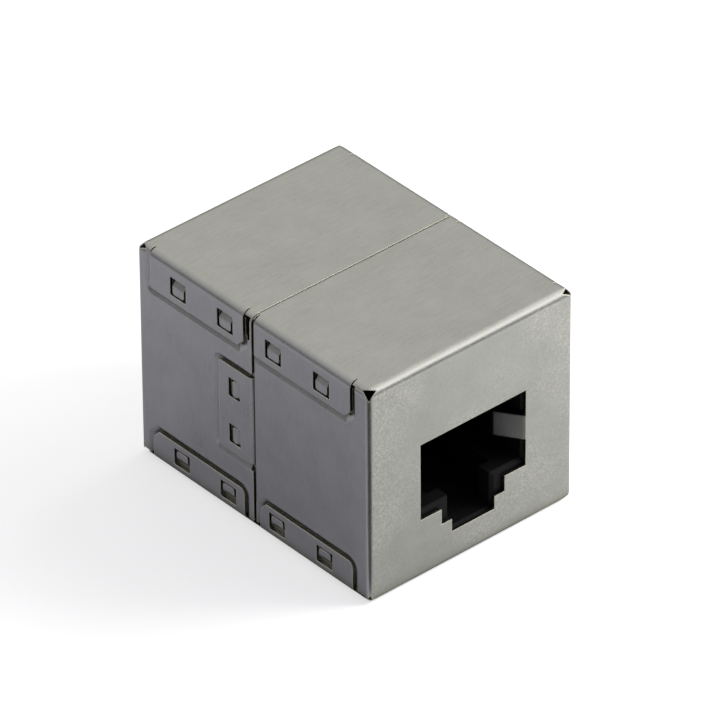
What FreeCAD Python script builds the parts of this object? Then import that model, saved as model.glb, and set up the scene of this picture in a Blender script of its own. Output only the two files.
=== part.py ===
"""Shielded RJ45 inline coupler: two folded sheet-metal boxes, back to back, round two moulded
modular jacks whose contacts meet on one small circuit board. Millimetres, +Z up.

The front port faces -Y, the rear port +Y, and the origin is the middle of the underside. The
front end's pieces are modelled, and the rear end's are copies turned half way round Z. On the
front box, the side at -X is the bend side, where the closing wall folds off the side panel, and
the side at +X is the tab side, where that wall's tab wraps back over the side panel.
"""
import FreeCAD, Part
import math
import os

import Sketcher
from FreeCAD import Placement, Rotation, Vector

SIZES = {
    # the two boxes together
    "overall_length": 30.0,
    "box_width": 23.1,
    "box_height": 22.1,
    "seam_gap": 0.12,
    # the sheet and its folds; radii are outside radii
    "sheet": 0.3,
    "bend_radius": 0.5,
    "fold_radius": 0.8,
    "wall_bend_radius": 0.4,
    "tab_bend_radius": 0.6,
    "layer_gap": 0.05,
    "joggle_run": 0.6,
    "side_clearance": 0.7,
    "corner_notch": 0.8,
    "notch_reach": 2.4,
    "bend_relief": 0.15,
    # flanges of the top and bottom panels: starts behind the port panel, ends before the seam
    "top_flange_height": 3.86,
    "low_flange_height": 3.3,
    "flange_bevel": 0.75,
    "flange_corner": 0.6,
    "flange_small_corner": 0.3,
    "flange_nick": 0.15,
    "top_bend_start": 2.4,
    "top_tab_start": 1.72,
    "low_bend_start": 2.24,
    "low_tab_start": 1.7,
    "top_bend_end": 0.24,
    "top_tab_end": 1.08,
    "low_bend_end": 0.75,
    "low_tab_end": 1.22,
    "top_bend_slot": 0.55,
    "top_tab_slot": 0.9,
    "top_bend_slot_rise": 0.6,
    "top_tab_slot_rise": 1.1,
    "slot_flat": 0.05,
    # windows: middles of the first behind the port panel, and of the last before the seam
    "window_length": 2.08,
    "top_window_height": 1.92,
    "low_window_height": 1.76,
    "window_corner": 0.12,
    "top_bend_first": 6.08,
    "top_tab_first": 5.38,
    "low_bend_first": 5.86,
    "low_tab_first": 5.46,
    "top_bend_last": 2.69,
    "top_tab_last": 3.43,
    "low_bend_last": 2.91,
    "low_tab_last": 3.35,
    "top_window_drop": 2.3,
    "low_window_rise": 1.87,
    # lanced catches under the windows
    "catch_side_gap": 0.32,
    "catch_end_gap": 0.2,
    "catch_root_gap": 0.4,
    "catch_ramp": 0.5,
    "catch_rise": 0.32,
    "catch_corner": 0.25,
    # the closing wall's tab, over the tab side
    "tab_low": 6.52,
    "tab_drop": 6.6,
    "tab_length": 4.34,
    "tab_corner": 0.4,
    "tab_window_inset": 2.34,
    "tab_window_length": 1.49,
    "tab_window_height": 1.95,
    "tab_low_window": 1.92,
    "tab_top_window": 2.22,
    "tab_catch_side_gap": 0.16,
    "tab_catch_end_gap": 0.5,
    "tab_catch_root_gap": 0.1,
    # port opening: plug space, latch shoulders and latch key, below each other
    "port_offset": 0.2,
    "port_width": 12.0,
    "port_low": 6.17,
    "port_height": 7.88,
    "shoulder_width": 7.2,
    "shoulder_depth": 1.58,
    "key_width": 4.87,
    "key_depth": 1.31,
    # ground fingers at the sides of the port
    "finger_rise": 2.73,
    "finger_height": 2.45,
    "finger_length": 2.75,
    "finger_tip_length": 1.05,
    "finger_turn": 56.0,
    "finger_tip_turn": 26.0,
    # jack housings
    "housing_gap": 0.1,
    "housing_rise_gap": 0.26,
    "housing_corner": 0.6,
    "housing_ledge": 0.6,
    "housing_lead_in": 0.3,
    "housing_front_wall": 1.2,
    "housing_side_wall": 1.35,
    "housing_back_wall": 2.24,
    "cavity_inset": 0.05,
    "latch_lip": 1.6,
    "finger_pocket_depth": 4.2,
    "finger_pocket_gap": 0.25,
    "finger_pocket_width": 0.95,
    "roof_thickness": 1.2,
    "ledge_width": 1.15,
    # contact carriers
    "carrier_length": 9.6,
    "carrier_height": 1.35,
    "carrier_shoulder": 1.0,
    "carrier_front_gap": 0.225,
    "carrier_top_gap": 0.1,
    "carrier_key_length": 8.3,
    "carrier_key_margin": 0.8,
    "carrier_key_gap": 0.1,
    "carrier_fit_gap": 0.05,
    "groove_gap": 0.06,
    "groove_cover": 0.08,
    "comb_inset": 2.77,
    "comb_depth": 0.8,
    # circuit board
    "board_thickness": 1.0,
    "board_depth": 3.4,
    "board_side_gap": 0.15,
    "board_corner": 0.5,
    "pin_hole_gap": 0.13,
    "wall_window_gap": 0.15,
    # contacts
    "contact_pitch": 1.02,
    "contact_width": 0.35,
    "contact_thickness": 0.25,
    "contact_bend": 0.3,
    "contact_lift": 0.03,
    "contact_front_depth": 2.75,
    "contact_front_gap": 0.125,
    "contact_drop": 0.4,
    "contact_reach": 7.8,
    "contact_slope": 20.0,
    "near_pin_depth": 9.2,
    "far_pin_depth": 11.7,
    "pin_stand": 0.7,
}
CONTACTS = 8
BEND_SIDE, TAB_SIDE = -1, 1

doc = FreeCAD.newDocument("rj45_inline_coupler")
sheet_of_sizes = doc.addObject("Spreadsheet::Sheet", "sizes")
for row, (alias, number) in enumerate(SIZES.items(), start=1):
    sheet_of_sizes.set(f"A{row}", alias)
    sheet_of_sizes.set(f"B{row}", str(number))
    sheet_of_sizes.setAlias(f"B{row}", alias)
doc.recompute()


class Size:
    """A length that keeps both its number and the spreadsheet expression that gives it."""

    def __init__(self, number, text=None):
        self.number = float(number)
        self.text = text or f"({float(number)})"

    def _joined(self, sign, other, number):
        return Size(number, f"({self.text} {sign} {other.text})")

    def __add__(self, other):
        other = as_size(other)
        return self._joined("+", other, self.number + other.number)

    def __sub__(self, other):
        other = as_size(other)
        return self._joined("-", other, self.number - other.number)

    def __mul__(self, other):
        other = as_size(other)
        return self._joined("*", other, self.number * other.number)

    def __truediv__(self, other):
        other = as_size(other)
        return self._joined("/", other, self.number / other.number)

    def __neg__(self):
        return as_size(0) - self

    def __radd__(self, other):
        return as_size(other) + self

    def __rsub__(self, other):
        return as_size(other) - self

    def __rmul__(self, other):
        return as_size(other) * self


def as_size(thing):
    return thing if isinstance(thing, Size) else Size(thing)


def diagonal(one, other):
    return Size(math.hypot(one.number, other.number), f"sqrt({one.text}^2 + {other.text}^2)")


class Sizes:
    """The spreadsheet's cells as Size values, by their aliases."""

    def __getattr__(self, alias):
        return Size(sheet_of_sizes.get(alias), f"sizes.{alias}")


size = Sizes()


# ---------------------------------------------------------------- outlines and prisms

# each plane: how a sketch lies in it, the coordinate it is placed by, and its growing direction
PLANES = {
    "XY": (Rotation(), "z", Vector(0, 0, 1)),
    "XZ": (Rotation(Vector(1, 0, 0), 90), "y", Vector(0, 1, 0)),
    "YZ": (Rotation(Vector(1, 1, 1), 120), "x", Vector(1, 0, 0)),
}
ORIGIN = (-1, 1)    # a sketch's own origin, as a constraint names it


def rectangle(low_u, high_u, low_v, high_v):
    return [(low_u, low_v), (high_u, low_v), (high_u, high_v), (low_u, high_v)]


def rounded(radius, corners=(0, 1, 2, 3)):
    return {corner: radius for corner in corners}


def turned_left(corners, radii):
    """The corners and their radii, in the order that keeps the inside on the left."""
    points = [(as_size(u), as_size(v)) for u, v in corners]
    area = sum(a[0].number * b[1].number - b[0].number * a[1].number
               for a, b in zip(points, points[1:] + points[:1]))
    radii = {index: as_size(radius) for index, radius in (radii or {}).items()}
    if area > 0:
        return points, radii
    last = len(points) - 1
    return points[::-1], {last - index: radius for index, radius in radii.items()}


def corner_arc(spot, into, out, radius):
    """The arc that rounds a corner, and which of its ends meets the side before it."""
    left = Vector(-into.y, into.x, 0)
    turn = 1 if left * out > 0 else -1
    first, last = spot - into * radius, spot + out * radius
    centre = first + left * (turn * radius)
    start, stop = (first, last) if turn > 0 else (last, first)
    angles = [math.atan2(end.y - centre.y, end.x - centre.x) for end in (start, stop)]
    arc = Part.ArcOfCircle(Part.Circle(centre, Vector(0, 0, 1), radius), *angles)
    return arc, 1 if turn > 0 else 2


def draw(sketch, corners, radii=None):
    """Draw a closed outline, fully constrained and bound to the sizes.

    Radii maps a corner to its radius; a round corner joins a level and an upright side.
    """
    points, radii = turned_left(corners, radii)
    count = len(points)
    spots = [Vector(u.number, v.number, 0) for u, v in points]
    ways = [(spots[(i + 1) % count] - spots[i]).normalize() for i in range(count)]
    cuts = [radii[i].number if i in radii else 0.0 for i in range(count)]
    slanted = [min(abs(way.x), abs(way.y)) > 1e-9 for way in ways]
    # a corner with a slanted side is placed by itself, and the others by their two sides
    placed = [not radii or slanted[i - 1] or slanted[i] for i in range(count)]
    for i, way in enumerate(ways):
        after = (i + 1) % count
        sketch.addGeometry(Part.LineSegment(spots[i] + way * cuts[i],
                                            spots[after] - way * cuts[after]), False)
    rules = []      # each constraint's terms, and the size that it is bound to
    for i, (u, v) in enumerate(points):
        before, after = (i - 1) % count, (i + 1) % count
        if i in radii:
            arc, near_end = corner_arc(spots[i], ways[before], ways[i], cuts[i])
            arc = sketch.addGeometry(arc, False)
            rules += [(("Tangent", before, 2, arc, near_end), None),
                      (("Tangent", arc, 3 - near_end, i, 1), None),
                      (("Radius", arc), radii[i])]
        else:
            rules.append((("Coincident", before, 2, i, 1), None))
        if placed[i]:
            rules += [(("DistanceX", *ORIGIN, i, 1), u), (("DistanceY", *ORIGIN, i, 1), v)]
        if placed[i] and placed[after] or slanted[i]:
            continue
        level = abs(ways[i].x) > abs(ways[i].y)
        rules.append((("Horizontal" if level else "Vertical", i), None))
        if not placed[i] and not placed[after]:
            rules.append((("DistanceY", *ORIGIN, i, 1), v) if level
                         else (("DistanceX", *ORIGIN, i, 1), u))
    sketch.addConstraint([Sketcher.Constraint(*terms, bound.number) if bound
                          else Sketcher.Constraint(*terms) for terms, bound in rules])
    for index, (terms, bound) in enumerate(rules):
        if bound:
            sketch.setExpression(f"Constraints[{index}]", bound.text)


def prism(name, plane, corners, start, end, radii=None, run=None):
    """An outline in a plane, grown from one coordinate to another; with run, its sides lean in
    by that much on the way."""
    start, end = as_size(start), as_size(end)
    rotation, coordinate, direction = PLANES[plane]
    sketch = doc.addObject("Sketcher::SketchObject", f"{name}_outline")
    draw(sketch, corners, radii)
    sketch.Placement = Placement(Vector(), rotation)
    sketch.setExpression(f"Placement.Base.{coordinate}", start.text)
    solid = doc.addObject("Part::Extrusion", name)
    solid.Base = sketch
    solid.DirMode = "Custom"
    grows = 1 if end.number > start.number else -1
    solid.Dir = direction * grows
    solid.Solid = True
    length = (end - start) * grows
    solid.setExpression("LengthFwd", length.text)
    if run is not None:
        solid.setExpression("TaperAngle", f"-atan({run.text} / {length.text})")
    return solid


def fused(name, pieces):
    if len(pieces) == 1:
        return pieces[0]
    result = doc.addObject("Part::MultiFuse", name)
    result.Shapes = pieces
    return result


def cut(name, base, tools):
    tool = fused(f"{name}_tools", tools)
    result = doc.addObject("Part::Cut", name)
    result.Base = base
    result.Tool = tool
    return result


def common(name, pieces):
    result = doc.addObject("Part::MultiCommon", name)
    result.Shapes = pieces
    return result


def formed_strip(name, plane, points, radius, thickness, start, width):
    """Sheet bent along straight runs joined by arcs; points and radius are of its middle line."""
    edges = []
    begin = points[0]
    for before, corner, after in zip(points, points[1:], points[2:]):
        into = (corner - before).normalize()
        out = (after - corner).normalize()
        turn = into.getAngle(out)
        reach = radius * math.tan(turn / 2)
        first, last = corner - into * reach, corner + out * reach
        inward = (out - into).normalize()
        middle = corner + inward * (radius / math.cos(turn / 2) - radius)
        edges += [Part.LineSegment(begin, first).toShape(), Part.Arc(first, middle, last).toShape()]
        begin = last
    edges.append(Part.LineSegment(begin, points[-1]).toShape())
    # the strip's outline is offset to both sides of its middle line, and its open ends stay square
    face = Part.Wire(edges).makeOffset2D(thickness / 2, join=2, fill=True, openResult=False,
                                         intersection=False)
    rotation, coordinate, direction = PLANES[plane]
    face.Placement = Placement(direction * start, rotation)
    strip = doc.addObject("Part::Feature", name)
    strip.Shape = face.extrude(direction * width)
    return strip


def turned_copy(name, original):
    """The other end's piece: a body on the same shape, turned half way round Z."""
    body = doc.addObject("PartDesign::Body", name)
    copy = body.newObject("PartDesign::FeatureBase", f"{name}_copy")
    copy.BaseFeature = original
    body.Tip = copy
    body.Placement = Placement(Vector(), Rotation(Vector(0, 0, 1), 180))
    return body


# ---------------------------------------------------------------- places shared by the pieces

PAST = Size(1)                                      # how far a cutter runs past the metal
BEVEL_GROWTH = 2 - math.sqrt(2)                     # of a 45 degree bevel, for each unit of margin
half_width = size.box_width / 2
height = size.box_height
port_face = -size.overall_length / 2                # outer face of the port panel
port_back = port_face + size.sheet
wall_face = -size.seam_gap / 2                      # outer face of the closing wall
wall_front = wall_face - size.sheet
joggle_depth = size.sheet + size.layer_gap
catch_foot = half_width - joggle_depth              # outer face of a joggled panel's floor
floor_back = catch_foot - size.sheet
rim = size.joggle_run + size.layer_gap              # from a flange's edge to its pocket's rim
inner_radius = size.bend_radius - size.sheet
fold_inner_radius = size.fold_radius - size.sheet
tab_start = wall_face - size.tab_length
tab_high = height - size.tab_drop
port_high = size.port_low + size.port_height
shoulder_low = size.port_low - size.shoulder_depth
key_low = shoulder_low - size.key_depth
ledge_level = size.port_low + size.housing_ledge
finger_low = size.port_low + size.finger_rise
housing_half = floor_back - size.housing_gap
housing_back = wall_front - size.housing_gap
board_bay_half = housing_half - size.housing_side_wall
board_half = board_bay_half - size.board_side_gap
groove_width = size.contact_width + size.groove_gap * 2
carrier_key_half = size.contact_pitch * (CONTACTS - 1) / 2 + groove_width / 2 + size.carrier_key_margin
roof_high = port_high + size.cavity_inset + size.roof_thickness
carrier_high = roof_high + size.carrier_height
groove_floor = carrier_high - size.contact_thickness - size.contact_lift - size.groove_cover
board_low = carrier_high + size.carrier_top_gap
board_high = board_low + size.board_thickness


def at_depth(depth):
    """The Y of what lies that far behind the port panel's face."""
    return port_face + depth


carrier_front = (at_depth(size.contact_front_depth) + size.contact_thickness / 2
                 + size.carrier_front_gap)


class Flange:
    """One of the four flanges that fold down or up over the side panels.

    One of its free corners is bevelled and the other one is round.
    """

    def __init__(self, name, side, top, bevel_at_port, corner):
        self.name = name
        self.side = side
        self.top = top
        self.bevel_at_port = bevel_at_port
        self.corner = corner
        self.start = at_depth(getattr(size, f"{name}_start"))
        self.end = wall_face - getattr(size, f"{name}_end")
        self.windows = (at_depth(getattr(size, f"{name}_first")),
                        wall_face - getattr(size, f"{name}_last"))
        self.root = height if top else Size(0)      # the panel's outer face that it folds off
        self.way = -1 if top else 1                 # from that face towards the free edge
        flange_height = size.top_flange_height if top else size.low_flange_height
        self.free_edge = self.root + self.way * flange_height
        drop = size.top_window_drop if top else size.low_window_rise
        self.window_level = self.root + self.way * drop
        self.window_height = size.top_window_height if top else size.low_window_height

    def face(self, margin=0):
        """Its outline seen from the side, from past its fold, and the radius of its round
        corner; both are grown by a margin."""
        margin = as_size(margin)
        # above the bend side's flange, the panel is joggled all the way to the seam
        to_seam = self.top and self.side == BEND_SIDE and margin.number
        start = self.start - margin
        end = PAST if to_seam else self.end + margin
        edge = self.free_edge + self.way * margin
        bevel = size.flange_bevel + margin * BEVEL_GROWTH
        bevel_level = edge - self.way * bevel
        beyond = self.root - self.way * PAST
        if self.bevel_at_port:
            free = [(start, bevel_level), (start + bevel, edge), (end, edge)]
        else:
            free = [(start, edge), (end - bevel, edge), (end, bevel_level)]
        return free + [(end, beyond), (start, beyond)], {2 if self.bevel_at_port else 0:
                                                         self.corner + margin}


top_bend = Flange("top_bend", BEND_SIDE, True, True, size.flange_nick)
top_tab = Flange("top_tab", TAB_SIDE, True, False, size.flange_small_corner)
low_bend = Flange("low_bend", BEND_SIDE, False, False, size.flange_corner)
low_tab = Flange("low_tab", TAB_SIDE, False, True, size.flange_corner)
FLANGES = [top_bend, top_tab, low_bend, low_tab]


# ---------------------------------------------------------------- folded boxes

class Window:
    """A window in a flange or the tab, over a catch lanced out of the side panel."""

    def __init__(self, name, side, middle, level, length, tall):
        self.name = name
        self.side = side
        self.middle = middle        # Y
        self.level = level          # Z
        self.length = length
        self.tall = tall

    def outline(self):
        return rectangle(self.middle - self.length / 2, self.middle + self.length / 2,
                         self.level - self.tall / 2, self.level + self.tall / 2)

    def cutter(self):
        """What cuts the window through the flange or the tab."""
        return prism(f"{self.name}_window", "YZ", self.outline(),
                     self.side * (catch_foot + size.layer_gap / 2),
                     self.side * (half_width + PAST), rounded(size.window_corner))


class Catch:
    """A tongue that rises from its root, over a ramp, to a free end with round corners.

    Along is the coordinate that it runs by, and across the other one. Rise is 1 or -1, the way
    that it points.
    """

    def __init__(self, window, upright, rise, side_gap, end_gap, root_gap):
        self.window = window
        self.upright = upright
        along, across = window.level, window.middle
        half, half_across = window.tall / 2, window.length / 2
        if not upright:
            along, across, half, half_across = across, along, half_across, half
        self.edge = along + rise * half
        self.free = self.edge - rise * end_gap
        self.root = along - rise * (half - root_gap)
        self.knee = self.root + rise * size.catch_ramp
        self.low, self.high = across - half_across, across + half_across
        self.side_gap = side_gap

    def plan(self, end, side_gap):
        """Its outline seen from the side, up to an end, and the corners at that end."""
        low, high = self.low + side_gap, self.high - side_gap
        if self.upright:
            return rectangle(low, high, end, self.root), (0, 1)
        return rectangle(end, self.root, low, high), (0, 3)

    def lance(self):
        """What cuts the hole that it leaves in the side panel."""
        outline, _ = self.plan(self.edge, Size(0))
        return prism(f"{self.window.name}_lance", "YZ", outline,
                     self.window.side * (floor_back - size.layer_gap),
                     self.window.side * (catch_foot + size.layer_gap))

    def tongue(self):
        name, side = self.window.name, self.window.side
        profile = [(catch_foot, self.root), (catch_foot + size.catch_rise, self.knee),
                   (catch_foot + size.catch_rise, self.free),
                   (floor_back + size.catch_rise, self.free),
                   (floor_back + size.catch_rise, self.knee), (floor_back, self.root)]
        bent = prism(f"{name}_bent", "XZ" if self.upright else "XY",
                     [(side * out, place) for out, place in profile],
                     self.low + self.side_gap, self.high - self.side_gap)
        outline, free_corners = self.plan(self.free, self.side_gap)
        face = prism(f"{name}_face", "YZ", outline, side * (floor_back - PAST),
                     side * (half_width + PAST), rounded(size.catch_corner, free_corners))
        return common(f"{name}_catch", [bent, face])


def all_catches():
    """Two windows with their catches in each flange and two in the tab."""
    found = []
    for flange in FLANGES:
        for number, middle in enumerate(flange.windows, start=1):
            window = Window(f"{flange.name}_{number}", flange.side, middle, flange.window_level,
                            size.window_length, flange.window_height)
            found.append(Catch(window, True, flange.way, size.catch_side_gap, size.catch_end_gap,
                               size.catch_root_gap))
    middle = wall_face - size.tab_window_inset
    for name, level in (("tab_low", size.tab_low + size.tab_low_window),
                        ("tab_top", tab_high - size.tab_top_window)):
        window = Window(name, TAB_SIDE, middle, level, size.tab_window_length,
                        size.tab_window_height)
        found.append(Catch(window, False, -1, size.tab_catch_side_gap, size.tab_catch_end_gap,
                           size.tab_catch_root_gap))
    return found


def both_sides(steps):
    """An outline that is the same on both sides of the port's middle, from half of it."""
    middle = size.port_offset
    return ([(middle - across, level) for across, level in steps]
            + [(middle + across, level) for across, level in reversed(steps)])


def port_outline():
    """The stepped opening: plug space on top, latch shoulders and latch key under it."""
    half = size.port_width / 2
    shoulder = size.shoulder_width / 2
    key = size.key_width / 2
    return both_sides([(half, port_high), (half, size.port_low), (shoulder, size.port_low),
                       (shoulder, shoulder_low), (key, shoulder_low), (key, key_low)])


def sleeve(end_view, cutters):
    """The strip that wraps round the box: tab side, port panel, bend side and closing wall."""
    inner = half_width - size.sheet
    wall_end = inner - size.layer_gap
    ring = prism("ring", "XY",
                 [(half_width, wall_face), (half_width, port_face), (-half_width, port_face),
                  (-half_width, wall_face), (wall_end, wall_face), (wall_end, wall_front),
                  (-inner, wall_front), (-inner, port_back), (inner, port_back),
                  (inner, wall_face)],
                 -PAST, height + PAST,
                 {1: size.bend_radius, 2: size.bend_radius, 3: size.wall_bend_radius,
                  6: size.wall_bend_radius - size.sheet, 7: inner_radius, 8: inner_radius})
    joggles = [(flange.name, flange.side, *flange.face(rim)) for flange in FLANGES]
    joggles.append(("tab", TAB_SIDE,
                    rectangle(tab_start - rim, PAST, size.tab_low - rim, tab_high + rim),
                    {0: size.tab_corner + rim, 3: size.flange_small_corner + rim}))
    pressed, pockets = [], []
    for name, side, outline, radii in joggles:
        pressed.append(prism(f"{name}_pressed", "YZ", outline, side * (half_width - size.sheet),
                             side * floor_back, radii, size.joggle_run))
        pockets.append(prism(f"{name}_pocket", "YZ", outline, side * half_width,
                             side * catch_foot, radii, size.joggle_run))
    between = prism("between_panels", "XY",
                    rectangle(-half_width, half_width, port_face, wall_face),
                    size.side_clearance, height - joggle_depth)
    side_view = prism("side_view", "YZ", rectangle(port_face, wall_face, 0, height),
                      -half_width - PAST, half_width + PAST, rounded(size.fold_radius, (0, 3)))
    formed = common("formed", [fused("ring_pressed", [ring] + pressed), between, side_view,
                               end_view])

    beside = half_width + PAST
    inside = floor_back - PAST
    # beside the tab, the side panel ends short of the closing wall, which carries on into the tab
    side_end = wall_front - size.layer_gap
    tab_gap = prism("tab_gap", "XY",
                    [(inside, side_end), (beside, side_end), (beside, PAST), (wall_end, PAST),
                     (wall_end, wall_front), (inside, wall_front)],
                    size.tab_low - rim, tab_high + rim)
    bend_room = prism("tab_bend_room", "XY",
                      rectangle(half_width - size.tab_bend_radius, beside,
                                wall_face - size.tab_bend_radius, PAST),
                      size.tab_low - size.bend_relief, tab_high + size.bend_relief)
    # under each flange's fold, the joggled panel ends below the fold's inner face
    under_folds = []
    for flange in FLANGES:
        outline = rectangle(flange.start - size.layer_gap, flange.end + size.layer_gap,
                            flange.root + flange.way * (size.fold_radius + size.layer_gap),
                            flange.root - flange.way * PAST)
        under_folds.append(prism(f"{flange.name}_under_fold", "YZ", outline,
                                 flange.side * inside, flange.side * beside))
    slots = []
    for flange, low, high, rise in (
            (top_bend, top_bend.start - size.top_bend_slot, top_bend.start,
             size.top_bend_slot_rise),
            (top_tab, top_tab.end, top_tab.end + size.top_tab_slot, size.top_tab_slot_rise)):
        outline = rectangle(low, high, flange.free_edge + rise, height + PAST)
        slots.append(prism(f"{flange.name}_slot", "YZ", outline, flange.side * inside,
                           flange.side * beside, rounded((high - low - size.slot_flat) / 2, (0, 1))))
    window_half = board_half + size.wall_window_gap
    board_window = prism("board_window", "XZ",
                         rectangle(-window_half, window_half, board_low - size.wall_window_gap,
                                   board_high + size.wall_window_gap),
                         wall_front - PAST, wall_face + PAST)
    return cut("sleeve", cut("joggled", formed, pockets),
               [tab_gap, bend_room, board_window] + under_folds + slots + cutters)


def cover(end_view, cutters):
    """The port panel with the top and bottom panels, cut back where their flanges fold off."""
    panels = prism("panels", "YZ",
                   [(wall_face, 0), (port_face, 0), (port_face, height), (wall_face, height),
                    (wall_face, height - size.sheet), (port_back, height - size.sheet),
                    (port_back, size.sheet), (wall_face, size.sheet)],
                   -half_width, half_width,
                   {1: size.fold_radius, 2: size.fold_radius, 5: fold_inner_radius,
                    6: fold_inner_radius})
    plan = prism("plan", "XY", rectangle(-half_width, half_width, port_face, wall_face),
                 -PAST, height + PAST, rounded(size.bend_radius, (0, 1)))
    cut_back = []
    for flange in FLANGES:
        outline = rectangle(flange.start - size.bend_relief, flange.end + size.bend_relief,
                            flange.root + flange.way * size.fold_radius,
                            flange.root - flange.way * PAST)
        cut_back.append(prism(f"{flange.name}_cut_back", "YZ", outline,
                              flange.side * (half_width - size.fold_radius),
                              flange.side * (half_width + PAST)))
    return cut("cover", common("bent_panels", [panels, plan, end_view]), cut_back + cutters)


def flange_sheet(flange):
    """One flange with the fold that carries it, its free corners bevelled or round."""
    inner = half_width - size.sheet
    root = half_width - size.fold_radius - size.sheet
    under = flange.root + flange.way * size.sheet
    profile = [(root, flange.root), (half_width, flange.root), (half_width, flange.free_edge),
               (inner, flange.free_edge), (inner, under), (root, under)]
    fold = prism(f"{flange.name}_fold", "XZ",
                 [(flange.side * across, level) for across, level in profile],
                 flange.start, flange.end, {1: size.fold_radius, 4: fold_inner_radius})
    outline, radii = flange.face()
    face = prism(f"{flange.name}_face", "YZ", outline,
                 flange.side * (root - PAST), flange.side * (half_width + PAST), radii)
    return common(f"{flange.name}_flange", [fold, face])


def tab_sheet():
    """The closing wall's tab, wrapped round the seam corner onto the tab side."""
    inner = half_width - size.sheet
    root = half_width - size.tab_bend_radius - size.sheet
    wrap = prism("tab_wrap", "XY",
                 [(root, wall_face), (half_width, wall_face), (half_width, tab_start),
                  (inner, tab_start), (inner, wall_front), (root, wall_front)],
                 size.tab_low, tab_high,
                 {1: size.tab_bend_radius, 4: size.tab_bend_radius - size.sheet})
    face = prism("tab_face", "YZ", rectangle(tab_start, PAST, size.tab_low, tab_high),
                 root - PAST, half_width + PAST,
                 {0: size.tab_corner, 3: size.flange_small_corner})
    return common("tab", [wrap, face])


def corner_notch(side, top):
    """A three-cornered relief through a corner of the port panel, seen along its diagonal."""
    way = Vector(-side, 1, -1 if top else 1)
    pointing = Vector(way.x, 0, 0) - way / 3        # from the triangle's middle to a corner
    notch = doc.addObject("Part::Prism", "notch")
    notch.Polygon = 3
    notch.setExpression("Circumradius", (size.corner_notch * math.sqrt(2 / 3)).text)
    notch.setExpression("Height", size.notch_reach.text)
    turned = Rotation(pointing.normalize(), Vector(), Vector(way).normalize(), "ZXY")
    notch.Placement = Placement(Vector(), turned)
    # half of its length lies outside the corner
    back = size.notch_reach / (2 * math.sqrt(3))
    corner = (side * half_width, port_face, height if top else Size(0))
    for axis, place, step in zip("xyz", corner, way):
        notch.setExpression(f"Placement.Base.{axis}", (place - step * back).text)
    return notch


def ground_finger(side):
    """A spring finger folded in from the port's edge, leaning towards the plug, with its tip
    bent back along the plug."""
    turn = math.radians(size.finger_turn.number)
    tip_turn = turn + math.radians(size.finger_tip_turn.number)
    middle_line = (port_face + size.sheet / 2).number
    edge = (size.port_offset + side * size.port_width / 2).number
    root = Vector(edge + side * size.bend_radius.number, middle_line, 0)
    knee = Vector(edge, middle_line, 0)
    bend = knee + Vector(-side * math.cos(turn), math.sin(turn), 0) * size.finger_length.number
    tip = bend + (Vector(-side * math.cos(tip_turn), math.sin(tip_turn), 0)
                  * size.finger_tip_length.number)
    return formed_strip("ground_finger", "XY", [root, knee, bend, tip],
                        (size.bend_radius - size.sheet / 2).number, size.sheet.number,
                        finger_low.number, size.finger_height.number)


def shield(name):
    """One folded box, in one piece of sheet."""
    catches = all_catches()
    opening = prism("opening", "XZ", port_outline(), port_face - PAST, port_back + PAST)
    notches = [corner_notch(side, top) for side in (BEND_SIDE, TAB_SIDE) for top in (True, False)]
    flaps = cut("flaps", fused("plain_flaps", [flange_sheet(flange) for flange in FLANGES]
                               + [tab_sheet()]), [catch.window.cutter() for catch in catches])
    # the long edges stay as round between the flanges as at their folds
    end_view = prism("end_view", "XZ", rectangle(-half_width, half_width, 0, height),
                     port_face - PAST, PAST, rounded(size.fold_radius))
    whole = [sleeve(end_view, [opening] + notches + [catch.lance() for catch in catches]),
             cover(end_view, [opening] + notches), flaps]
    whole += [catch.tongue() for catch in catches]
    whole += [ground_finger(side) for side in (BEND_SIDE, TAB_SIDE)]
    return fused(name, whole)


# ---------------------------------------------------------------- moulded pieces and the board

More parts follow.
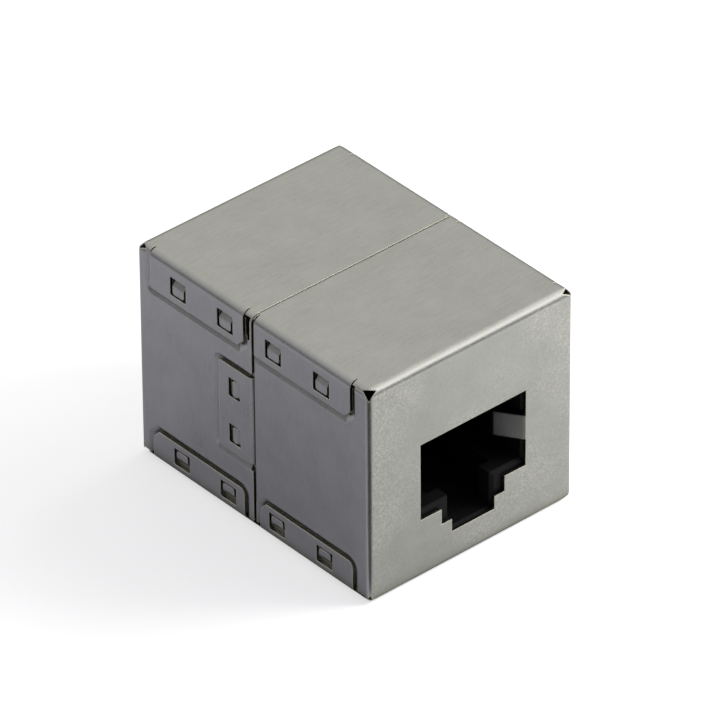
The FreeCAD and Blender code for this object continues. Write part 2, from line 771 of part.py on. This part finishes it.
class Moulding:
    """A PartDesign body made of pads and pockets with bound outlines."""

    def __init__(self, name):
        self.body = doc.addObject("PartDesign::Body", name)
        self.name = name
        self.volume = 0.0

    def origin_item(self, role):
        return [item for item in self.body.Origin.OriginFeatures
                if getattr(item, "Role", "") == role][0]

    def sketch(self, plane, level):
        """An empty sketch in one of the body's own planes, moved to a level."""
        sketch = self.body.newObject("Sketcher::SketchObject", f"{self.name}_sketch")
        sketch.AttachmentSupport = [(self.origin_item(f"{plane}_Plane"), "")]
        sketch.MapMode = "FlatFace"
        facing = -1 if plane == "XZ" else 1         # a sketch in XZ faces -Y
        sketch.setExpression("AttachmentOffset.Base.z", (level * facing).text)
        return sketch

    def grown(self, kind, sketch, low, high, lean=0):
        """The feature that a sketch makes, and a stop if it left the solid as it was."""
        feature = self.body.newObject(f"PartDesign::{kind}", f"{self.name}_{kind.lower()}")
        feature.Profile = sketch
        feature.setExpression("Length", (high - low).text)
        feature.TaperAngle = -lean
        return self.changed(feature)

    def pad(self, plane, corners, low, high, radii=None):
        sketch = self.sketch(plane, high if plane == "XZ" else low)
        draw(sketch, corners, radii)
        return self.grown("Pad", sketch, low, high)

    def pocket(self, plane, corners, low, high, radii=None, lean=0):
        """A pocket; with lean, it narrows inwards by that angle."""
        sketch = self.sketch(plane, low if plane == "XZ" else high)
        draw(sketch, corners, radii)
        return self.grown("Pocket", sketch, low, high, lean)

    def drill(self, places, radius, low, high):
        """Round holes along Z."""
        sketch = self.sketch("XY", high)
        for place_x, place_y in places:
            spot = Vector(place_x.number, place_y.number, 0)
            circle = sketch.addGeometry(Part.Circle(spot, Vector(0, 0, 1), radius.number), False)
            for kind, terms, bound in (("Radius", (circle,), radius),
                                       ("DistanceX", (*ORIGIN, circle, 3), place_x),
                                       ("DistanceY", (*ORIGIN, circle, 3), place_y)):
                index = sketch.addConstraint(Sketcher.Constraint(kind, *terms, bound.number))
                sketch.setExpression(f"Constraints[{index}]", bound.text)
        return self.grown("Pocket", sketch, low, high)

    def repeat(self, feature, spacing, count):
        """Copies of a pocket along X."""
        pattern = self.body.newObject("PartDesign::LinearPattern", f"{self.name}_pattern")
        pattern.Originals = [feature]
        pattern.Direction = (self.origin_item("X_Axis"), [""])
        pattern.Occurrences = count
        pattern.setExpression("Length", (spacing * (count - 1)).text)
        self.body.Tip = pattern
        return self.changed(pattern)

    def changed(self, feature):
        before = self.volume
        doc.recompute([feature, self.body])
        self.volume = self.body.Shape.Volume
        if not feature.isValid() or abs(self.volume - before) < 1e-6:
            raise RuntimeError(f"{feature.Name} changed nothing")
        return feature


def contact_x(number):
    """The X of a contact's middle, from 1 to the last."""
    return size.port_offset + size.contact_pitch * (number - (CONTACTS + 1) / 2)


def pin_y(number):
    """The Y of a contact's pin; odd and even ones stand in two rows."""
    return at_depth(size.near_pin_depth if number % 2 else size.far_pin_depth)


def plug_outline(margin=0):
    """The jack's own opening: plug space with the latch key under it, grown by a margin."""
    margin = as_size(margin)
    half = size.port_width / 2 - size.cavity_inset + margin
    key = size.key_width / 2 - size.cavity_inset + margin
    top = port_high - size.cavity_inset + margin
    return both_sides([(half, top), (half, ledge_level - margin), (key, ledge_level - margin),
                       (key, key_low + size.cavity_inset - margin)])


def jack_housing(name):
    """Moulded insulator: plug cavity with a latch keyway below, board chamber above."""
    housing = Moulding(name)
    low = size.sheet + size.housing_rise_gap
    high = height - low
    front = port_back + size.housing_gap
    housing.pad("XZ", rectangle(-housing_half, housing_half, low, high), front, housing_back,
                rounded(size.housing_corner))
    cavity_back = housing_back - size.housing_back_wall
    housing.pocket("XZ", plug_outline(), front, cavity_back)
    housing.pocket("XZ", plug_outline(size.housing_lead_in), front, front + size.housing_lead_in,
                   lean=45)
    # behind its lip the keyway is as wide as the latch's shoulders, so that the latch hooks
    middle = size.port_offset
    shoulder = size.shoulder_width / 2
    housing.pocket("XZ", rectangle(middle - shoulder, middle + shoulder, key_low,
                                   ledge_level + size.cavity_inset),
                   front + size.latch_lip, cavity_back)
    pocket_half = size.port_width / 2 + size.finger_pocket_width
    housing.pocket("XZ", rectangle(middle - pocket_half, middle + pocket_half,
                                   finger_low - size.finger_pocket_gap,
                                   finger_low + size.finger_height + size.finger_pocket_gap),
                   front, at_depth(size.finger_pocket_depth))
    chamber_front = front + size.housing_front_wall
    chamber_half = board_bay_half - size.ledge_width
    housing.pocket("XY", rectangle(-chamber_half, chamber_half, chamber_front, housing_back),
                   roof_high, board_low)
    housing.pocket("XY", rectangle(-board_bay_half, board_bay_half, chamber_front, housing_back),
                   board_low, high)
    window_half = carrier_key_half + size.carrier_fit_gap
    window_front = (at_depth(size.contact_front_depth) - size.contact_thickness / 2
                    - size.contact_front_gap)
    window_back = carrier_front + size.carrier_key_length + size.carrier_fit_gap
    housing.pocket("XY", rectangle(middle - window_half, middle + window_half, window_front,
                                   window_back), port_high - size.cavity_inset, roof_high)
    return housing.body


def contact_carrier(name):
    """Moulded comb that holds the contacts over the plug cavity."""
    carrier = Moulding(name)
    middle = size.port_offset
    back = carrier_front + size.carrier_length
    half = carrier_key_half + size.carrier_shoulder
    carrier.pad("XY", rectangle(middle - half, middle + half, carrier_front, back),
                roof_high, carrier_high)
    key_bottom = port_high + size.cavity_inset + size.carrier_key_gap
    key_back = carrier_front + size.carrier_key_length
    carrier.pad("XY", rectangle(middle - carrier_key_half, middle + carrier_key_half,
                                carrier_front, key_back), key_bottom, roof_high)
    low = contact_x(1) - groove_width / 2
    high = contact_x(1) + groove_width / 2
    groove = carrier.pocket("XY", rectangle(low, high, carrier_front, back),
                            groove_floor, carrier_high)
    carrier.repeat(groove, size.contact_pitch, CONTACTS)
    comb = carrier.pocket("XY", rectangle(low, high, carrier_front + size.comb_inset, key_back),
                          key_bottom, key_bottom + size.comb_depth)
    carrier.repeat(comb, size.contact_pitch, CONTACTS)
    return carrier.body


def circuit_board(name):
    """The board that joins both ends' contacts, drilled for their pins."""
    board = Moulding(name)
    reach = -at_depth(size.board_depth)
    board.pad("XY", rectangle(-board_half, board_half, -reach, reach), board_low, board_high,
              rounded(size.board_corner))
    places = []
    for number in range(1, CONTACTS + 1):
        across, along = contact_x(number), pin_y(number)
        places += [(across, along), (-across, -along)]
    hole = diagonal(size.contact_width, size.contact_thickness) / 2 + size.pin_hole_gap
    board.drill(places, hole, board_low, board_high)
    return board.body


def contact(name, number):
    """A flat formed contact: pin through the board, run over the carrier, slope into the port."""
    run_level = (groove_floor + size.contact_lift + size.contact_thickness / 2).number
    pin = pin_y(number).number
    front = at_depth(size.contact_front_depth).number
    drop = (port_high - size.contact_drop).number
    slope = math.radians(size.contact_slope.number)
    reach = size.contact_reach.number
    points = [Vector(pin, (board_high + size.pin_stand).number, 0), Vector(pin, run_level, 0),
              Vector(front, run_level, 0), Vector(front, drop, 0),
              Vector(front + reach * math.cos(slope), drop - reach * math.sin(slope), 0)]
    low = (contact_x(number) - size.contact_width / 2).number
    return formed_strip(name, "YZ", points, size.contact_bend.number,
                        size.contact_thickness.number, low, size.contact_width.number)


# ---------------------------------------------------------------- the whole coupler

def end_pieces():
    """The front end's pieces, by their names without the end."""
    pieces = {"shield": shield("front_shield"), "jack_housing": jack_housing("front_jack_housing"),
              "contact_carrier": contact_carrier("front_contact_carrier")}
    for number in range(1, CONTACTS + 1):
        pieces[f"contact_{number}"] = contact(f"front_contact_{number}", number)
    return pieces


pieces = {"circuit_board": circuit_board("circuit_board")}
for name, piece in end_pieces().items():
    pieces[f"front_{name}"] = piece
    pieces[f"rear_{name}"] = turned_copy(f"rear_{name}", piece)
doc.recompute()
for name, piece in pieces.items():
    piece.Label = name

for item in doc.Objects:
    if "Invalid" in item.State or "Error" in item.State:
        raise RuntimeError(f"{item.Name} failed: {item.State}")
for name, piece in pieces.items():
    if piece.Shape.isNull() or not piece.Shape.isValid() or len(piece.Shape.Solids) != 1:
        raise RuntimeError(f"{name} is not one sound solid")

os.makedirs("parts", exist_ok=True)
for name, piece in pieces.items():
    piece.Shape.exportStep(f"parts/{name}.step")
    print(f"{name}: {piece.Shape.Volume:.2f} mm3")
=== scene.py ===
import math

import bpy
from mathutils import Matrix, Vector


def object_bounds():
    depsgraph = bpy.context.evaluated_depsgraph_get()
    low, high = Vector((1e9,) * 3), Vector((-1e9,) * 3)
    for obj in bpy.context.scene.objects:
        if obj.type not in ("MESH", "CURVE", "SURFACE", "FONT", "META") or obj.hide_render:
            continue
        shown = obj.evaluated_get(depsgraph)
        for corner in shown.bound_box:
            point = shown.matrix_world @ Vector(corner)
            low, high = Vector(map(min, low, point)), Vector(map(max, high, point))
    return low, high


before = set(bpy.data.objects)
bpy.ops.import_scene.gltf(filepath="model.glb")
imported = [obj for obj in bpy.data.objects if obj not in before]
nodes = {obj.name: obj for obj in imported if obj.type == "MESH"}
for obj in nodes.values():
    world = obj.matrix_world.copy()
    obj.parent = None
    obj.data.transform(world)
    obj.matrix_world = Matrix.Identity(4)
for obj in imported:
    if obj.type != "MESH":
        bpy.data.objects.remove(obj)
cad_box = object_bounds()

MM = 0.001
low, high = cad_box
middle = (low + high) / 2
port = low.y                                        # the front port panel's outer face


# ---------------------------------------------------------------- shader helper

class Shader:
    """A node material, or a given node tree, under construction."""

    def __init__(self, name=None, tree=None):
        if tree is None:
            self.material = bpy.data.materials.new(name)
            self.material.use_nodes = True
            tree = self.material.node_tree
        self.nodes = tree.nodes
        self.links = tree.links
        self.surface = self.nodes.get("Principled BSDF")

    def node(self, kind, settings=None, **inputs):
        made = self.nodes.new("ShaderNode" + kind)
        for key, value in (settings or {}).items():
            setattr(made, key, value)
        for key, value in inputs.items():
            self.feed(made.inputs[key.replace("_", " ")], value)
        return made

    def feed(self, socket, value):
        if isinstance(value, bpy.types.NodeSocket):
            self.links.new(value, socket)
        else:
            socket.default_value = value

    def set(self, **inputs):
        for key, value in inputs.items():
            self.feed(self.surface.inputs[key.replace("_", " ")], value)

    def math(self, operation, first, second=0.0):
        made = self.node("Math", {"operation": operation})
        self.feed(made.inputs[0], first)
        self.feed(made.inputs[1], second)
        return made.outputs[0]

    def size(self, value):
        return self.math("ABSOLUTE", value)

    def product(self, first, *others):
        for other in others:
            first = self.math("MULTIPLY", first, other)
        return first

    def weighted(self, *terms):
        """The sum of values, each given with its share."""
        parts = [self.math("MULTIPLY", value, share) for value, share in terms]
        total = parts[0]
        for part in parts[1:]:
            total = self.math("ADD", total, part)
        return total

    def dot(self, first, second):
        made = self.node("VectorMath", {"operation": "DOT_PRODUCT"})
        self.feed(made.inputs[0], first)
        self.feed(made.inputs[1], second)
        return made.outputs["Value"]

    def axes(self, vector):
        return self.node("SeparateXYZ", Vector=vector).outputs

    def ramp(self, value, from_low, from_high, to_low, to_high):
        made = self.node("MapRange", Value=value, From_Min=from_low, From_Max=from_high,
                         To_Min=to_low, To_Max=to_high)
        return made.outputs["Result"]

    def place(self):
        return self.node("TexCoord").outputs["Object"]

    def noise(self, per_metre, detail=2.0, roughness=0.5):
        """Noise with its own number of grains a metre along each axis."""
        stretched = self.node("Mapping", {"vector_type": "POINT"}, Vector=self.place(), Scale=per_metre)
        made = self.node("TexNoise", Vector=stretched.outputs[0], Scale=1.0, Detail=detail,
                         Roughness=roughness)
        return made.outputs["Fac"]

    def even_noise(self, per_metre, detail=2.0, roughness=0.5):
        return self.noise((per_metre, per_metre, per_metre), detail, roughness)

    def mix(self, share, first, second):
        """A number between two others."""
        made = self.node("Mix", {"data_type": "FLOAT"})
        for socket, value in ((0, share), (2, first), (3, second)):
            self.feed(made.inputs[socket], value)
        return made.outputs[0]

    def tint(self, share, first, second):
        """A colour between two others."""
        made = self.node("Mix", {"data_type": "RGBA"})
        for socket, value in ((0, share), (6, first), (7, second)):
            self.feed(made.inputs[socket], value)
        return made.outputs[2]

    def bump(self, strength, distance, height, normal):
        made = self.node("Bump", Strength=strength, Distance=distance, Height=height, Normal=normal)
        return made.outputs[0]


# ---------------------------------------------------------------- plated sheet

PLATING_DARK = (0.41, 0.410, 0.374, 1.0)
PLATING_PALE = (0.50, 0.500, 0.460, 1.0)
# a painted glint colour, used only on the port panels
PAINTED_GLINT = (0.80, 0.79, 0.70, 1.0)
# the colour of the painted shade in recesses and crevices
RECESS_SHADE = (0.20, 0.20, 0.150, 1.0)
# the edge colour: part wear, part painted highlight
WORN_HIGHLIGHT_METAL = (0.85, 0.83, 0.66, 1.0)
# the colour of the painted shade on the ground fingers inside the port
FINGER_SHADE_COLOUR = (0.04, 0.04, 0.045, 1.0)
SHADE_RANGE = (0.38, 0.62)                          # the part of the noise that makes a difference
SMOOTH, MATT, WORN_ROUGHNESS = 0.27, 0.39, 0.6
PANEL_FACING = 0.7                                  # how squarely a panel faces along its axis
EDGE_WIDTH = 0.16 * MM
# how far the painted recess shade looks for neighbours
RECESS_SHADE_REACH = 2.5 * MM
FINGER_ROOT = -port - 0.05 * MM                     # depths from the middle of the coupler
FINGER_TIP = -port - 3.5 * MM
FINGER_SIDE = 7.0 * MM
FINGER_TOP = low.z + 18.0 * MM
# how strongly the painted shade darkens the finger roots and the tips
ROOT_SHADE, TIP_SHADE = 0.70, 0.93


def panel_masks(shader, normal):
    """1 on the panels that face up or down, on those that face sideways, and on the port panels."""
    facing = shader.axes(normal)
    return [shader.math("GREATER_THAN", shader.size(facing[axis]), PANEL_FACING) for axis in "ZXY"]


def rolling_grain(shader, level, side):
    """Grain along X on the level panels, upright on the sides, almost even on the port panels."""
    on_level = shader.noise((450.0, 4200.0, 450.0), detail=2.0, roughness=0.5)
    on_port = shader.noise((3600.0, 2200.0, 2200.0), detail=3.0, roughness=0.7)
    on_side = shader.noise((600.0, 5200.0, 600.0), detail=3.0, roughness=0.6)
    return shader.mix(level, shader.mix(side, on_port, on_side), on_level)


def plating_and_glints(shader, shade, speck, port_panel):
    """Plating in two close shades, with painted glints: bright grains in cloudy patches on the port
    panels.
    """
    cloud = shader.even_noise(130.0, detail=2.0, roughness=0.5)
    # painted glints: bright grains painted in cloudy patches on the port panels only
    painted_glints = shader.product(
        shader.ramp(speck, 0.46, 0.68, 0.0, 0.5),
        shader.ramp(cloud, 0.42, 0.62, 0.0, 1.0),
        port_panel,
    )
    plain = shader.tint(shader.ramp(shade, *SHADE_RANGE, 0.0, 1.0), PLATING_DARK, PLATING_PALE)
    return shader.tint(painted_glints, plain, PAINTED_GLINT)


def painted_recess_shade(shader, colour):
    """The sheet is darkened with painted shade where it is hidden by its neighbours."""
    shown = shader.node("AmbientOcclusion", {"samples": 8}, Distance=RECESS_SHADE_REACH).outputs["AO"]
    return shader.tint(shader.ramp(shown, 0.35, 0.85, 0.0, 1.0), RECESS_SHADE, colour)


def painted_finger_shade(shader):
    """Inside a port the ground fingers get painted shade, and more of it towards their tips."""
    spot = shader.axes(shader.place())
    depth = shader.size(spot["Y"])
    return shader.product(
        shader.math("LESS_THAN", shader.size(spot["X"]), FINGER_SIDE),
        shader.math("LESS_THAN", spot["Z"], FINGER_TOP),
        shader.math("LESS_THAN", depth, FINGER_ROOT),
        shader.ramp(depth, FINGER_TIP, FINGER_ROOT, TIP_SHADE, ROOT_SHADE),
    )


def plated_sheet():
    shader = Shader("plated_sheet")
    normal = shader.node("NewGeometry").outputs["True Normal"]
    level, side, port_panel = panel_masks(shader, normal)
    grain = rolling_grain(shader, level, side)
    mottle = shader.even_noise(330.0, detail=4.0, roughness=0.65)
    speck = shader.even_noise(6500.0, detail=2.0, roughness=0.8)
    shade = shader.weighted((grain, 0.3), (mottle, 0.35), (speck, 0.35))

    # Cut edges and sharp corners are given a warmer, lighter metal, partly rubbed-down wear and partly a
    # painted highlight
    soft_edge = shader.node("Bevel", {"samples": 6}, Radius=EDGE_WIDTH).outputs[0]
    worn_and_highlight = shader.ramp(shader.dot(soft_edge, normal), 0.80, 0.985, 1.0, 0.0)
    # painted recess shade darkens the colour where neighbours hide the sheet
    colour = painted_recess_shade(shader, plating_and_glints(shader, shade, speck, port_panel))
    colour = shader.tint(worn_and_highlight, colour, WORN_HIGHLIGHT_METAL)
    # painted shade on the ground fingers inside the port
    colour = shader.tint(painted_finger_shade(shader), colour, FINGER_SHADE_COLOUR)
    rough = shader.mix(worn_and_highlight, shader.ramp(shade, *SHADE_RANGE, SMOOTH, MATT), WORN_ROUGHNESS)

    # The panels are slightly wavy between their folds, under the fine grain
    wave = shader.even_noise(95.0, detail=1.0, roughness=0.4)
    wavy = shader.bump(strength=1.0, distance=0.05 * MM, height=wave, normal=soft_edge)
    fine = shader.weighted((grain, 0.65), (speck, 0.35))
    grained = shader.bump(strength=0.28, distance=0.02 * MM, height=fine, normal=wavy)
    shader.set(Base_Color=colour, Metallic=1.0, Roughness=rough, Normal=grained)
    return shader.material


# ---------------------------------------------------------------- other materials

def moulded_plastic(name, grey, roughness):
    shader = Shader(name)
    speck = shader.even_noise(5200.0, detail=3.0, roughness=0.6)
    soft_edge = shader.node("Bevel", {"samples": 4}, Radius=0.08 * MM).outputs[0]
    rough = shader.ramp(speck, 0.3, 0.7, roughness - 0.05, roughness + 0.07)
    grained = shader.bump(strength=0.25, distance=0.015 * MM, height=speck, normal=soft_edge)
    shader.set(Base_Color=(grey, grey, grey, 1.0), Roughness=rough, Normal=grained)
    shader.surface.inputs["IOR"].default_value = 1.45
    shader.surface.inputs["Specular IOR Level"].default_value = 0.2
    return shader.material


def board_laminate():
    shader = Shader("board_laminate")
    weave = shader.even_noise(2500.0, detail=2.0, roughness=0.5)
    colour = shader.tint(weave, (0.010, 0.075, 0.030, 1.0), (0.016, 0.105, 0.045, 1.0))
    shader.set(Base_Color=colour, Roughness=0.35)
    return shader.material


def contact_metal():
    shader = Shader("contact_metal")
    wear = shader.noise((900.0, 2500.0, 900.0), detail=3.0, roughness=0.6)
    colour = shader.tint(wear, (0.80, 0.56, 0.22, 1.0), (0.92, 0.70, 0.33, 1.0))
    shader.set(Base_Color=colour, Metallic=1.0, Roughness=shader.ramp(wear, 0.3, 0.7, 0.20, 0.32))
    return shader.material


finishes = {
    "plated_sheet": plated_sheet(),
    "jack_plastic": moulded_plastic("jack_plastic", grey=0.006, roughness=0.60),
    "carrier_plastic": moulded_plastic("carrier_plastic", grey=0.010, roughness=0.62),
    "board_laminate": board_laminate(),
    "contact_metal": contact_metal(),
}
for node in nodes.values():
    slot_name = node.data.materials[0].name
    node.data.materials[0] = finishes[slot_name]


# ---------------------------------------------------------------- floor and cards

FLOOR_SIZE = 6.0
FLOOR_LIFT_SEEN = 0.62                              # brings the floor to white for the camera
FLOOR_LIFT_SHINE = 0.06
CARD_LENGTH = 75 * MM
CARD_GAP = 0.5 * MM
CARD_HEIGHT = 0.4 * MM


def seen(shader):
    """1 on rays from the camera or through the object, and 1 on those that the object reflects."""
    path = shader.node("LightPath").outputs
    direct = shader.math("MAXIMUM", path["Is Camera Ray"], path["Is Transmission Ray"])
    return direct, path["Is Glossy Ray"]


def make_floor():
    bpy.ops.mesh.primitive_plane_add(size=FLOOR_SIZE, location=(0.0, 0.0, low.z))
    floor = bpy.context.object
    floor.name = "floor"
    shader = Shader("floor")
    direct, glossy = seen(shader)
    lift = shader.weighted((direct, FLOOR_LIFT_SEEN), (glossy, FLOOR_LIFT_SHINE))
    shader.set(Base_Color=(0.80, 0.80, 0.80, 1.0), Roughness=0.9, Emission_Strength=lift)
    shader.surface.inputs["Emission Color"].default_value = (1.0, 1.0, 1.0, 1.0)
    shader.surface.inputs["Specular IOR Level"].default_value = 0.0
    floor.data.materials.append(shader.material)


def make_card(name, colour, glow, far_y):
    """A card just over the floor on the object's left, which only the metal's reflections show; it paints
    a reflection into the metal.
    """
    near_corner = Vector((low.x - CARD_GAP, port - CARD_GAP, low.z + CARD_HEIGHT))
    far_corner = Vector((low.x - CARD_LENGTH, far_y, low.z + CARD_HEIGHT))
    bpy.ops.mesh.primitive_plane_add(size=1.0)
    card = bpy.context.object
    card.name = name
    card.dimensions = [abs(extent) for extent in far_corner - near_corner]
    card.location = (near_corner + far_corner) / 2
    shader = Shader(name)
    shader.set(Base_Color=colour, Roughness=0.9, Emission_Color=colour, Emission_Strength=glow)
    card.data.materials.append(shader.material)
    card.visible_camera = False
    card.visible_diffuse = False
    card.visible_shadow = False


make_floor()
# dark card: a painted reflection of shade in the metal's folds and fingers
make_card("painted_shade_card", (0.10, 0.10, 0.10, 1.0), glow=0.0, far_y=port - CARD_LENGTH)
# cool card: a glowing painted reflection, pale and bluish, on the left panels
make_card("painted_reflection_card", (0.76, 0.75, 0.87, 1.0), glow=0.12, far_y=high.y + CARD_LENGTH)


# ---------------------------------------------------------------- light

BRIGHT_SIDE = (0.60, 0.45, 0.66)
DIM_SIDE = 0.30
DIM_HORIZON = 0.18
DIM_TINT = (0.68, 0.65, 1.0, 1.0)
BRIGHT_TINT = (1.0, 1.0, 0.99, 1.0)
WHITE = (1.0, 1.0, 1.0, 1.0)
SKY_LIGHT = 0.45                                    # how strongly the sky lights, and is reflected
SKY_SHINE = 0.84


def make_world():
    """A pale studio: brightest high up behind the object's right, dimmer low down and opposite."""
    world = bpy.data.worlds.new("studio")
    bpy.context.scene.world = world
    world.use_nodes = True
    shader = Shader(tree=world.node_tree)
    towards = shader.node("TexCoord").outputs["Generated"]
    side = shader.ramp(shader.dot(towards, BRIGHT_SIDE), -0.8, 0.9, DIM_SIDE, 1.0)
    rise = shader.ramp(shader.axes(towards)["Z"], 0.0, 0.45, DIM_HORIZON, 1.0)
    level = shader.product(side, rise)
    direct, glossy = seen(shader)
    lit = shader.mix(glossy, shader.product(level, SKY_LIGHT), shader.product(level, SKY_SHINE))
    background = shader.nodes["Background"].inputs
    shader.feed(background["Color"], shader.tint(direct, shader.tint(side, DIM_TINT, BRIGHT_TINT), WHITE))
    shader.feed(background["Strength"], shader.mix(direct, lit, 1.0))


def softbox(name, towards, distance, width, height, power, aim=middle):
    """A rectangular lamp, placed from the object's middle and facing a point."""
    lamp = bpy.data.lights.new(name, "AREA")
    lamp.shape = "RECTANGLE"
    lamp.size = width
    lamp.size_y = height
    lamp.energy = power
    holder = bpy.data.objects.new(name, lamp)
    bpy.context.scene.collection.objects.link(holder)
    holder.location = middle + Vector(towards).normalized() * distance
    holder.rotation_euler = (holder.location - aim).to_track_quat("Z", "Y").to_euler()
    return holder


make_world()
softbox("key", (0.90, -0.35, 0.62), distance=0.55, width=0.66, height=0.48, power=1.45)
# A small lamp for the floor in front of the port's right, whose light the port panel reflects
pool = softbox("pool", (0.80, -0.62, 0.70), distance=0.13, width=0.06, height=0.06, power=0.095,
               aim=Vector((36 * MM, port - 12 * MM, low.z)))
pool.visible_glossy = False


# ---------------------------------------------------------------- camera

AZIMUTH = math.radians(-41.05)
ELEVATION = math.radians(35.5)
ROLL = math.radians(-0.42)
DISTANCE = 0.7728
LENS = 452.55                                       # both in mm, as Blender has them
SENSOR = 36.0
START = Vector((-0.1 * MM, port, low.z + 0.3 * MM))  # low on the port panel, near its middle
AIM_ACROSS = -9.45 * MM
AIM_UPWARD = 16.19 * MM


def make_camera():
    forward = Vector((
        -math.sin(AZIMUTH) * math.cos(ELEVATION),
        math.cos(AZIMUTH) * math.cos(ELEVATION),
        -math.sin(ELEVATION),
    ))
    right = Vector((math.cos(AZIMUTH), math.sin(AZIMUTH), 0.0))
    up = right.cross(forward)
    across = math.cos(ROLL) * right + math.sin(ROLL) * up
    upward = math.cos(ROLL) * up - math.sin(ROLL) * right
    aim = START + across * AIM_ACROSS + upward * AIM_UPWARD
    camera_data = bpy.data.cameras.new("camera")
    camera_data.sensor_width = SENSOR
    camera_data.lens = LENS
    camera_data.clip_start = 0.05
    camera_data.clip_end = 20.0
    camera = bpy.data.objects.new("camera", camera_data)
    bpy.context.scene.collection.objects.link(camera)
    turned = Matrix((across, upward, -forward)).transposed().to_4x4()
    camera.matrix_world = Matrix.Translation(aim - forward * DISTANCE) @ turned
    bpy.context.scene.camera = camera


make_camera()
bpy.context.scene.view_settings.view_transform = "Standard"
